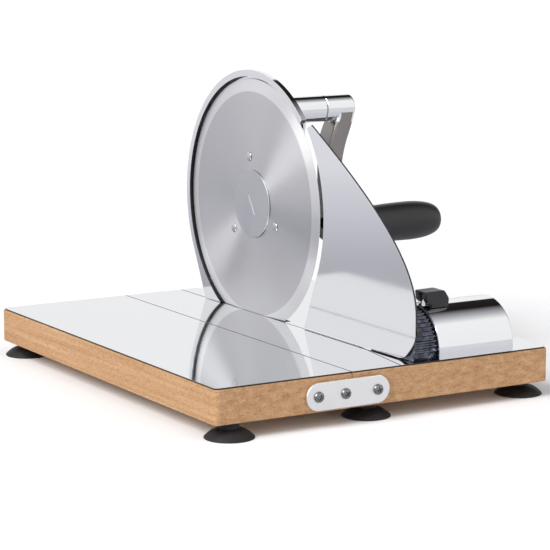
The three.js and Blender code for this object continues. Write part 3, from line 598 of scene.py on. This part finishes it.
def bright_chrome():
    """Chrome over polished metal: a near-perfect mirror with a slight orange peel from the casting."""
    made, tree, shader, place = shader_of("bright_chrome")
    peel = add(tree, "ShaderNodeTexNoise", {"Vector": place, "Scale": 120.0, "Detail": 1.0})
    haze = add(tree, "ShaderNodeTexNoise", {"Vector": place, "Scale": 18.0, "Detail": 3.0})
    soft = add(tree, "ShaderNodeMapRange", {0: haze.outputs["Fac"], 3: 0.03, 4: 0.09})
    relief = add(tree, "ShaderNodeBump",
                 {"Height": peel.outputs["Fac"], "Strength": 0.05, "Distance": 0.0002})
    tree.links.new(soft.outputs[0], shader.inputs["Roughness"])
    tree.links.new(relief.outputs[0], shader.inputs["Normal"])
    shader.inputs["Base Color"].default_value = linear("#e9eaec")
    shader.inputs["Metallic"].default_value = 1.0
    return made


chrome = bright_chrome()


def dressed(name, node, surface, body, edge, sharp=35):
    """A CAD node's shape with its doubles merged, its flat faces made whole and its edges rounded."""
    work = bmesh.new()
    work.from_mesh(frame["nodes"][node].data)
    bmesh.ops.remove_doubles(work, verts=work.verts, dist=2e-6)
    bmesh.ops.dissolve_limit(work, angle_limit=math.radians(0.5), verts=work.verts, edges=work.edges)
    mesh = bpy.data.meshes.new(name)
    work.to_mesh(mesh)
    work.free()
    piece = bpy.data.objects.new(name, mesh)
    bpy.context.scene.collection.objects.link(piece)
    mesh.polygons.foreach_set("use_smooth", np.ones(len(mesh.polygons), bool))
    mesh.set_sharp_from_angle(angle=math.radians(sharp))
    mesh.materials.append(surface)
    bevel = piece.modifiers.new("rounded_edges", "BEVEL")
    bevel.width, bevel.segments, bevel.limit_method = edge * 0.001, 2, "ANGLE"
    bevel.angle_limit = math.radians(sharp)
    flatten(piece)
    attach(piece, body)
    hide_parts(node)
    return piece


def shade_inside_ring(piece, surface, bore):
    """Gives a second, dull and dark material to the faces inside the guard ring that look at its axis:
    painted shade for the gap between the blade and the ring. The bore is a radius in millimetres."""
    mesh = piece.data
    mesh.materials.append(surface)
    centre = metres((0, 0, AXIS_Z))
    for face in mesh.polygons:
        away = np.array(face.center) - centre
        reach = math.hypot(away[1], away[2])
        inwards = -(face.normal[1] * away[1] + face.normal[2] * away[2]) / max(reach, 1e-6)
        if reach < bore / 1000 and inwards > 0.5:
            face.material_index = 1


housing = dressed("guard_housing", "machine_housing", chrome, "base", 0.45)
# The inner wall of the guard ring is painted dark: painted shade round the blade's edge.
shade_inside_ring(housing, plated("painted_ring_gap_shade", "#3a3a3d", 0.5, 0.6, 0.4), 99)


# ---- bearing tube and crank ----
# A chromed tube pressed into the housing carries the crank shaft. The crank is a forging: a round chromed
# hub in line with the tube, and a flat brushed arm that steps in towards the machine and hangs down to the
# handle.

tube_low, tube_high = millimetres("bearing_tube")
shaft_low, shaft_high = millimetres("crank_shaft")
CRANK_AXIS = ((shaft_low[1] + shaft_high[1]) / 2, (shaft_low[2] + shaft_high[2]) / 2)
TUBE = {"r": 10, "bore": 6.3, "spigot": 8, "collar": 13.3, "edge": 0.4}


def tube_profile():
    """Spigot in the housing, then the full tube with a broken edge at its open end."""
    start, end, edge = tube_low[0], tube_high[0], TUBE["edge"]
    bore, collar, outer = TUBE["bore"], TUBE["collar"], TUBE["r"]
    return [(bore, start), (TUBE["spigot"], start), (TUBE["spigot"], collar), (outer, collar),
            (outer, end - edge), (outer - edge, end), (bore, end), (bore, start)]


add_piece("crank_bearing_tube", [turned(tube_profile(), CRANK_AXIS)], chrome, "base", ["bearing_tube"])

CRANK = {"hub": (52, 77), "hub_r": 10, "hub_round": 2.4, "arm": (53.2, 65.3), "wide": 19, "radius": 92.2,
         "edge": 2.2, "eye_r": 9.5, "recess": (5.4, 2.6)}


def cubic(a, b, c, d, count):
    """Cubic Bezier curve through a and d, pulled towards b and c."""
    t = np.linspace(0, 1, count)[:, None]
    a, b, c, d = (np.asarray(p, float) for p in (a, b, c, d))
    return (1 - t) ** 3 * a + 3 * t * (1 - t) ** 2 * b + 3 * t ** 2 * (1 - t) * c + t ** 3 * d


def arm_outline():
    """Side of the arm in (x, z): down from the hub, inwards along an S curve, and straight to the handle."""
    (near, far), (_, hub_end), top = CRANK["arm"], CRANK["hub"], CRANK_AXIS[1]
    low = top - CRANK["radius"]
    outer = cubic((far, 108), (far, 130), (hub_end - 1, 142), (hub_end - 0.4, top), 24)
    inner = cubic((61.5, 150.4), (58, 141), (near, 134), (near, 120), 24)
    return np.vstack([[(near, low), (far, low)], outer, [(61.5, top)], inner])


half_wide = CRANK["wide"] / 2
arm_rings = rounded_rings(CRANK_AXIS[0] - half_wide, CRANK_AXIS[0] + half_wide, CRANK["edge"], 6)
hub_from, hub_to = CRANK["hub"]
hub_r, hub_round = CRANK["hub_r"], CRANK["hub_round"]
hub_turn = np.radians(np.linspace(0, 90, 8))
hub_edge = np.column_stack([hub_r - hub_round * (1 - np.cos(hub_turn)),
                            hub_to - hub_round * (1 - np.sin(hub_turn))])
recess_r, recess_deep = CRANK["recess"]
hub_profile = np.vstack([
    [(0, hub_from), (hub_r - 0.4, hub_from), (hub_r, hub_from + 0.4)], hub_edge,
    [(recess_r, hub_to), (recess_r, hub_to - recess_deep), (0, hub_to - recess_deep)]])
arm_from, arm_to = CRANK["arm"]
eye_r = CRANK["eye_r"]
eye_profile = [(0, arm_from), (eye_r - 1.4, arm_from), (eye_r - 0.4, arm_from + 0.4), (eye_r, arm_from + 1.4),
               (eye_r, arm_to - 1.4), (eye_r - 0.4, arm_to - 0.4), (eye_r - 1.4, arm_to), (0, arm_to)]
handle_axis = (CRANK_AXIS[0], CRANK_AXIS[1] - CRANK["radius"])
forging = add_piece("crank_forging", [banded(arm_outline(), arm_rings, "y"), turned(hub_profile, CRANK_AXIS),
                                      turned(eye_profile, handle_axis)],
                    chrome, "crank", ["crank_arm"])
forging.data.materials.append(plated("brushed_forging", "#8d8886", 0.24, 0.4, 0.25))
hub_underside = metres((0, 0, CRANK_AXIS[1] - hub_r))[2]
for face in forging.data.polygons:
    face.material_index = int(face.center[2] < hub_underside)


# ---- handle ----
# A grip moulded in black plastic. It swells towards its end, which is rounded, and turns freely on a long
# screw.

def satin_plastic(name, tones, rough):
    """Moulded ABS or PA, polished tool: even and dark with a soft sheen and slight flow marks."""
    made, tree, shader, place = shader_of(name)
    flow = add(tree, "ShaderNodeTexNoise", {"Vector": place, "Scale": 35.0, "Detail": 3.0})
    tone = ramp(tree, flow.outputs["Fac"], [(0.3, tones[0]), (0.7, tones[1])])
    tree.links.new(tone, shader.inputs["Base Color"])
    soft = add(tree, "ShaderNodeMapRange", {0: flow.outputs["Fac"], 3: rough * 0.85, 4: rough * 1.15})
    tree.links.new(soft.outputs[0], shader.inputs["Roughness"])
    grain = add(tree, "ShaderNodeTexNoise", {"Vector": place, "Scale": 3000.0, "Detail": 1.0})
    relief = add(tree, "ShaderNodeBump",
                 {"Height": grain.outputs["Fac"], "Strength": 0.08, "Distance": 0.0001})
    tree.links.new(relief.outputs[0], shader.inputs["Normal"])
    return made


black_plastic = satin_plastic("satin_black_plastic", ("#19181a", "#232124"), 0.36)
grip_low, grip_high = millimetres("handle_grip")
GRIP = {"r": 15.1, "neck": 10.5, "bore": 4.4, "mouth": 6.4, "deep": 8.4}


def grip_profile():
    """(radius, x): neck that swells by a sine towards the thickest place, 7/10 of the way along, then a round
    end with a deep mouth for the screw's head."""
    start, end = grip_low[0], grip_high[0]
    neck, mouth, bore = GRIP["neck"], GRIP["mouth"], GRIP["bore"]
    thick = start + 0.7 * (end - start)
    share = np.linspace(0, 1, 30)
    body = np.column_stack([neck + (GRIP["r"] - neck) * np.sin(share * math.pi / 2) ** 0.75,
                            start + 0.8 + (thick - start - 0.8) * share])
    turn = np.linspace(0, math.pi / 2, 24)[1:]
    nose = np.column_stack([mouth + (GRIP["r"] - mouth) * np.cos(turn) ** 0.8,
                            thick + (end - thick) * np.sin(turn)])
    hollow, deep = mouth - 0.3, end - GRIP["deep"]
    return np.vstack([[(bore, start), (neck - 0.8, start)], body, nose,
                      [(hollow, end - 0.6), (hollow, deep), (bore, deep), (bore, start)]])


add_piece("crank_grip", [turned(grip_profile(), handle_axis, sides=112)], black_plastic, "handle",
          ["handle_grip"], sharp=50)


# ---- blade ----
# A disc of stainless steel, ground flat and then turned against a stone, so its grain runs in circles.
# The outer band is ground to a bevel with fine waves along the cutting edge.

BLADE = {"r": 95, "bevel_r": 85.3, "thick": 1.4, "edge": 1.1, "hole": 7.4, "waves": 220, "wave": 0.35}


def ground_steel(name, tone, rough, stretch, bevel_r):
    """Ground stainless: rings of fine lines about the blade's axis, which spread light across them. The
    bevel, from bevel_r metres out, is freshly ground and brighter."""
    made, tree, shader, place = shader_of(name)
    centre = metres((0, 0, AXIS_Z))
    moved = add(tree, "ShaderNodeMapping", {"Vector": place, "Location": tuple(-centre)})
    flat = add(tree, "ShaderNodeVectorMath", {0: moved.outputs[0], 1: (0, 1, 1)}, operation="MULTIPLY")
    radius = add(tree, "ShaderNodeVectorMath", {0: flat.outputs[0]}, operation="LENGTH")
    # Real lines are 0.05 mm apart. These are 0.7 mm apart, the finest that can show.
    lines = add(tree, "ShaderNodeTexNoise", {"W": radius.outputs["Value"], "Scale": 1400.0, "Detail": 3.0},
                noise_dimensions="1D")
    ground = ramp(tree, lines.outputs["Fac"], [(0.3, tone[0]), (0.7, tone[1])])
    band = add(tree, "ShaderNodeMapRange", {0: radius.outputs["Value"], 1: bevel_r - 0.0004, 2: bevel_r})
    shown = add(tree, "ShaderNodeMix", {0: band.outputs[0], 6: ground, 7: linear(tone[2])}, data_type="RGBA")
    tree.links.new(shown.outputs[2], shader.inputs["Base Color"])
    soft = add(tree, "ShaderNodeMapRange", {0: lines.outputs["Fac"], 3: rough * 0.94, 4: rough * 1.06})
    tree.links.new(soft.outputs[0], shader.inputs["Roughness"])
    shader.inputs["Metallic"].default_value = 1.0
    shader.inputs["Anisotropic"].default_value = stretch
    grain = add(tree, "ShaderNodeTangent", direction_type="UV_MAP", uv_map="grain")
    tree.links.new(grain.outputs[0], shader.inputs["Tangent"])
    return made


def grain_map(piece):
    """UV map whose U runs outwards from the blade's axis, the way circular grain spreads light, and V round
    it."""
    mesh = piece.data
    corner = np.zeros(len(mesh.loops), np.int32)
    mesh.loops.foreach_get("vertex_index", corner)
    points = np.zeros(len(mesh.vertices) * 3)
    mesh.vertices.foreach_get("co", points)
    away = points.reshape(-1, 3)[corner] - metres((0, 0, AXIS_Z))
    angle = np.arctan2(away[:, 2], away[:, 1])
    starts = np.zeros(len(mesh.polygons), np.int32)
    counts = np.zeros(len(mesh.polygons), np.int32)
    mesh.polygons.foreach_get("loop_start", starts)
    mesh.polygons.foreach_get("loop_total", counts)
    first = np.repeat(angle[starts], counts)
    angle = first + (angle - first + math.pi) % (2 * math.pi) - math.pi
    layer = mesh.uv_layers.new(name="grain")
    pairs = np.column_stack([np.hypot(away[:, 1], away[:, 2]) * 10, angle / (2 * math.pi)])
    layer.data.foreach_set("uv", pairs.astype(np.float32).ravel())


def blade_shell():
    """Disc of revolution whose rim radius is less by a small rectified sine wave, one dip to each wave."""
    sides = BLADE["waves"] * 6
    thick, edge = BLADE["thick"], BLADE["edge"]
    flat = np.linspace(BLADE["hole"], BLADE["bevel_r"], 12)
    bevel = np.linspace(0, 1, 7)[1:]
    slope = np.column_stack([BLADE["bevel_r"] + (BLADE["r"] - BLADE["bevel_r"]) * bevel, edge * bevel])
    back = [(BLADE["r"], thick), (BLADE["hole"], thick)]
    profile = np.vstack([np.column_stack([flat, 0 * flat]), slope, back])
    points, faces = turned(np.vstack([profile, profile[:1]]), (0, AXIS_Z), sides=sides)
    away = points - (0, 0, AXIS_Z)
    radius = np.hypot(away[:, 1], away[:, 2])
    share = np.clip((radius - BLADE["r"] + 2) / 2, 0, 1)
    angle = np.arctan2(away[:, 2], away[:, 1])
    dip = BLADE["wave"] * np.abs(np.sin(angle * BLADE["waves"] / 2)) * share
    scale = (radius - dip) / radius
    return np.column_stack([points[:, 0], away[:, 1] * scale, away[:, 2] * scale + AXIS_Z]), faces


blade_steel = ground_steel("circular_ground_steel", ("#cdcdd0", "#d2d2d4", "#ebebec"), 0.3, 0.95,
                           BLADE["bevel_r"] / 1000)
disc = add_piece("slicing_blade", [blade_shell()], blade_steel, "blade_unit", ["blade"],
                 sharp=25)
grain_map(disc)

RIVET = {"r": 3.4, "dome": 0.594, "shank": 2.4}
rivet_steel = plated("rivet_steel", "#cfcfd1", 0.25, 0.4, 0.1)
for number in (1, 2, 3):
    node = f"blade_rivet_{number}"
    low, high = millimetres(node)
    turn = np.linspace(0, math.pi / 2, 8)
    dome = np.column_stack([RIVET["r"] * np.sin(turn), low[0] + RIVET["dome"] * (1 - np.cos(turn))])
    shank = [(RIVET["shank"], low[0] + RIVET["dome"]), (RIVET["shank"], high[0]), (0, high[0])]
    add_piece(f"blade_stud_{number}", [turned(np.vstack([dome, shank]), middle_of(node)[1:], sides=32)],
              rivet_steel, "blade_unit", [node])


# ---- lock cap ----
# A thick steel disc, glass-blasted, that holds the blade on its carrier. It has a slot for a coin, and a
# quarter turn frees the blade.

cap_steel = plated("blasted_cap_steel", "#c4c5c9", 0.42, 0.35, 0.4)
cap_low, cap_high = millimetres("blade_lock_cap")
CAP = {"r": 26, "rim": (0.4, 0.3), "back": -0.3, "stem": 7}
COIN_SLOT = {"long": 9.4, "wide": 1.3, "deep": 0.5, "lean": 32}
rim_turn = np.linspace(0, math.pi / 2, 7)
rim_in, rim_back = CAP["rim"]
cap_rim = np.column_stack([CAP["r"] - rim_in * (1 - np.sin(rim_turn)),
                           cap_low[0] + rim_back * (1 - np.cos(rim_turn))])
cap_stem = [(CAP["r"], CAP["back"]), (CAP["stem"], CAP["back"]), (CAP["stem"], cap_high[0]), (0, cap_high[0])]
cap_profile = np.vstack([[(0, cap_low[0])], cap_rim, cap_stem])
lean = math.radians(COIN_SLOT["lean"])
long_way = np.array([math.sin(lean), math.cos(lean)])
short_way = np.array([long_way[1], -long_way[0]])
half_short, reach = COIN_SLOT["wide"], COIN_SLOT["long"] - COIN_SLOT["wide"]
slot_flat = np.vstack([arc((0, reach), half_short, 0, 180, 9), arc((0, -reach), half_short, 180, 360, 9)])
coin_slot = slot_flat[:, :1] * short_way + slot_flat[:, 1:] * long_way + (0, AXIS_Z)
slot_ends = [(0, cap_low[0] - 2), (0, cap_low[0] + COIN_SLOT["deep"])]
add_piece("coin_slot_cap", [turned(cap_profile, (0, AXIS_Z))], cap_steel, "lock_cap", ["blade_lock_cap"],
          cutters=[banded(coin_slot, slot_ends, "x")])


# ---- stop plate and its sleeve ----
# A polished steel plate hollowed out round the blade. It sets the slice thickness, and rides on a dark,
# fluted sleeve that slides into the chrome cover.

PLATE = {"arc": 101.3, "low": 42, "tip": 140, "thick": 1.6, "edge": 0.3}
plate_low, _ = millimetres("stop_plate")
TAB = {"x": (0.4, 6.2), "y": (-221, -219.9), "z": (19, 23.5)}
plate_steel = polished_steel("polished_plate_steel", "#eeeff1", 0.08)


def plate_outline():
    """(y, z): arc about the blade, then the bowed edge down to the operator's side and a rounded foot."""
    front, foot = plate_low[1], plate_low[2]
    start = 180 + math.degrees(math.asin(PLATE["low"] / PLATE["arc"]))
    hollow = arc((0, AXIS_Z), PLATE["arc"], start, PLATE["tip"], 70)
    bow = cubic((-84, 153), (-154.1, 114.4), (front, 74), (front, 34), 50)
    corner = cubic((front, 21), (front, 15), (-215, 10), (-211, 6), 10)
    heel = cubic((-211, 6), (-209, 4), (-206.3, foot + 0.7), (-201, foot), 8)[1:]
    return np.vstack([[(-75, foot)], hollow, bow, corner, heel])


tab_shell = block(*TAB["x"], *TAB["y"], *TAB["z"])
plate_shell = banded(plate_outline(), rounded_rings(0, PLATE["thick"], PLATE["edge"], 3), "x")
plate = add_piece("thickness_plate", [plate_shell, tab_shell], plate_steel, "plate_slide", ["stop_plate"],
                  sharp=25)
# The plate's edge faces take the same dark edge material, with its painted shade.
edge_in(plate, cut_edge_and_seam_shade, 0)

UNIT = {"y": -189, "z": 6}
SLEEVE = {"r": 28.2, "root": 27.0, "bore": 25.4, "flutes": 26, "wall": 3}
ROD = {"r": 4.1, "z": 13, "spread": 11, "hole": (2.9, 9)}
BELOW, BEYOND = -5, 5
sleeve_low, sleeve_high = millimetres("plate_sleeve")


def glossy_dark_metal():
    """Gun-metal lacquer over extruded metal: blue-black and glossy, with bright rib tops."""
    made, tree, shader, place = shader_of("glossy_dark_metal")
    wear = add(tree, "ShaderNodeTexNoise", {"Vector": place, "Scale": 220.0, "Detail": 4.0})
    tone = ramp(tree, wear.outputs["Fac"], [(0.35, "#3a3c47"), (0.7, "#70737f")])
    tree.links.new(tone, shader.inputs["Base Color"])
    soft = add(tree, "ShaderNodeMapRange", {0: wear.outputs["Fac"], 3: 0.16, 4: 0.32})
    tree.links.new(soft.outputs[0], shader.inputs["Roughness"])
    shader.inputs["Metallic"].default_value = 0.85
    return made


def sleeve_outline():
    """Half circle whose radius goes up and down by a sine for each flute, on two short straight legs."""
    angle = np.linspace(0, math.pi, SLEEVE["flutes"] * 8 + 1)
    middle, swing = (SLEEVE["r"] + SLEEVE["root"]) / 2, (SLEEVE["r"] - SLEEVE["root"]) / 2
    radius = middle - swing * np.cos(angle * 2 * SLEEVE["flutes"])
    bend = np.column_stack([UNIT["y"] + radius * np.cos(angle), UNIT["z"] + radius * np.sin(angle)])
    legs = [(UNIT["y"] - SLEEVE["root"], sleeve_low[2]), (UNIT["y"] + SLEEVE["root"], sleeve_low[2])]
    return np.vstack([bend, legs])


def arch(radius, bottom, start, end):
    """Solid half cylinder on two straight legs, along X."""
    bend = arc((UNIT["y"], UNIT["z"]), radius, 0, 180, 90)
    legs = [(UNIT["y"] - radius, bottom), (UNIT["y"] + radius, bottom)]
    return banded(np.vstack([bend, legs]), [(0, start), (0, end)], "x")


sleeve_rings = [(0.3, sleeve_high[0]), (0, sleeve_high[0] - 0.3), (0, sleeve_low[0] + 0.3),
                (0.3, sleeve_low[0])]
sleeve_bore = arch(SLEEVE["bore"], BELOW, sleeve_low[0] + SLEEVE["wall"], sleeve_high[0] + BEYOND)
hole_from, hole_to = ROD["hole"]
hole_profile = [(0, hole_from), (ROD["r"], hole_from), (ROD["r"], hole_to), (0, hole_to)]
rod_holes = [turned(hole_profile, (UNIT["y"] + side * ROD["spread"], ROD["z"]), sides=40) for side in (-1, 1)]
add_piece("fluted_sleeve", [banded(sleeve_outline(), sleeve_rings, "x")], glossy_dark_metal(), "plate_slide",
          ["plate_sleeve"], sharp=60, cutters=[sleeve_bore, *rod_holes])


# ---- thickness cover and clamp lever ----
# A chromed arch, closed at the crank end, covers the guides. The black lever on its top is hinged on a pin
# and presses a rubber pad on the setting.

cover_low, cover_high = millimetres("thickness_cover")
COVER = {"r": 30.5, "wall": 1.6, "round": 1.6}
BOSS = {"x": 74, "y": (-194.5, -183.5), "top": 18}
WINDOW = {"x": (30.6, 37.4), "half": 3.5, "z": (31, 40)}
LUG = {"x": 2.4, "y": 2, "low": 34.9, "r": 2.8}
PIVOT = (27, 41.6)
lever_low, lever_high = millimetres("clamp_lever")
LEVER_Y = (lever_low[1] + lever_high[1]) / 2

end_turn = np.linspace(0, math.pi / 2, 7)
end_round = np.column_stack([COVER["round"] * (1 - np.cos(end_turn)),
                             cover_high[0] - COVER["round"] * (1 - np.sin(end_turn))])
cover_rings = np.vstack([[(0.4, cover_low[0]), (0, cover_low[0] + 0.4)], end_round])
cover_bend = arc((UNIT["y"], UNIT["z"]), COVER["r"], 0, 180, 90)
cover_legs = [(UNIT["y"] - COVER["r"], cover_low[2]), (UNIT["y"] + COVER["r"], cover_low[2])]
cover_shell = banded(np.vstack([cover_bend, cover_legs]), cover_rings, "x")
cover_bore = arch(COVER["r"] - COVER["wall"], BELOW, cover_low[0] - 2, cover_high[0] - COVER["wall"])
cover_boss = block(BOSS["x"], cover_high[0] - 1, *BOSS["y"], cover_low[2], BOSS["top"])
lug_from, lug_to = LEVER_Y - LUG["y"], LEVER_Y + LUG["y"]
lug_shell = block(PIVOT[0] - LUG["x"], PIVOT[0] + LUG["x"], lug_from, lug_to, LUG["low"], PIVOT[1])
lug_round = turned([(0, lug_from), (LUG["r"], lug_from), (LUG["r"], lug_to), (0, lug_to)], PIVOT, "y", 40)
window = block(*WINDOW["x"], LEVER_Y - WINDOW["half"], LEVER_Y + WINDOW["half"], *WINDOW["z"])
add_piece("chrome_cover", [cover_shell], chrome, "base", ["thickness_cover"],
          cutters=[cover_bore, window], lugs=[cover_boss, lug_shell, lug_round])


def lever_outline():
    """(x, z): round eye over the pin, flat top, sloping nose, and skirts that reach down over the arch."""
    x, eye, skirt = PIVOT[0], 4.6, 33.6
    nose = cubic((41.6, 40), (40.6, 42), (39.4, 43.8), (38.4, 45.2), 5)
    crest = cubic((38.4, 45.2), (37.9, 45.9), (37.4, 46.2), (36.4, 46.2), 5)[1:]
    heel = cubic((22.8, 45.9), (22.2, 45.8), (21.9, 45.4), (22, 44.8), 4)
    return np.vstack([[(x, skirt), (41, skirt)], nose, crest, heel, arc(PIVOT, eye, 180, 270, 12)])


LEVER_SLOT = {"x": (15, 30.5), "half": 2.7, "z": (30, 44.9)}
lever_rings = rounded_rings(lever_low[1], lever_high[1], 0.5, 4)
slot_half = LEVER_SLOT["half"]
lever_slot = block(*LEVER_SLOT["x"], LEVER_Y - slot_half, LEVER_Y + slot_half, *LEVER_SLOT["z"])
clear_r = COVER["r"] + 0.5
arch_way = turned([(0, 10), (clear_r, 10), (clear_r, 60), (0, 60)], (UNIT["y"], UNIT["z"]), sides=160)
add_piece("setting_lever", [banded(lever_outline(), lever_rings, "y")], black_plastic, "clamp",
          ["clamp_lever"], sharp=48, cutters=[lever_slot, arch_way])


# ---- works inside ----
# Shafts, gears, bushes, guides and the screws from below keep the shapes they were designed with. They get
# the finish each is bought in: turned steel, moulded acetal, sintered bronze, cast aluminium.

def moulded_acetal():
    """Natural acetal: milky off-white, slightly waxy."""
    made, tree, shader, place = shader_of("moulded_acetal")
    cloud = add(tree, "ShaderNodeTexNoise", {"Vector": place, "Scale": 60.0, "Detail": 3.0})
    tree.links.new(ramp(tree, cloud.outputs["Fac"], [(0.3, "#dfdccf"), (0.7, "#ece9de")]),
                   shader.inputs["Base Color"])
    soft = add(tree, "ShaderNodeMapRange", {0: cloud.outputs["Fac"], 3: 0.36, 4: 0.5})
    tree.links.new(soft.outputs[0], shader.inputs["Roughness"])
    return made


finishes = {
    "screw_steel": screw_steel,
    "gear_plastic": moulded_acetal(),
    "bronze": plated("sintered_bronze", "#b08a4e", 0.45, 0.3, 0.6),
    "block_aluminium": plated("cast_aluminium", "#b9bbbd", 0.5, 0.8, 0.6),
    "blade_steel": rivet_steel,
    "rubber": rubber,
}
for entry in frame["record"]["subparts"]:
    part = frame["nodes"][entry["node"]]
    if part.hide_render:
        continue
    part.data.materials.clear()
    part.data.materials.append(finishes[entry["material_slot"]])
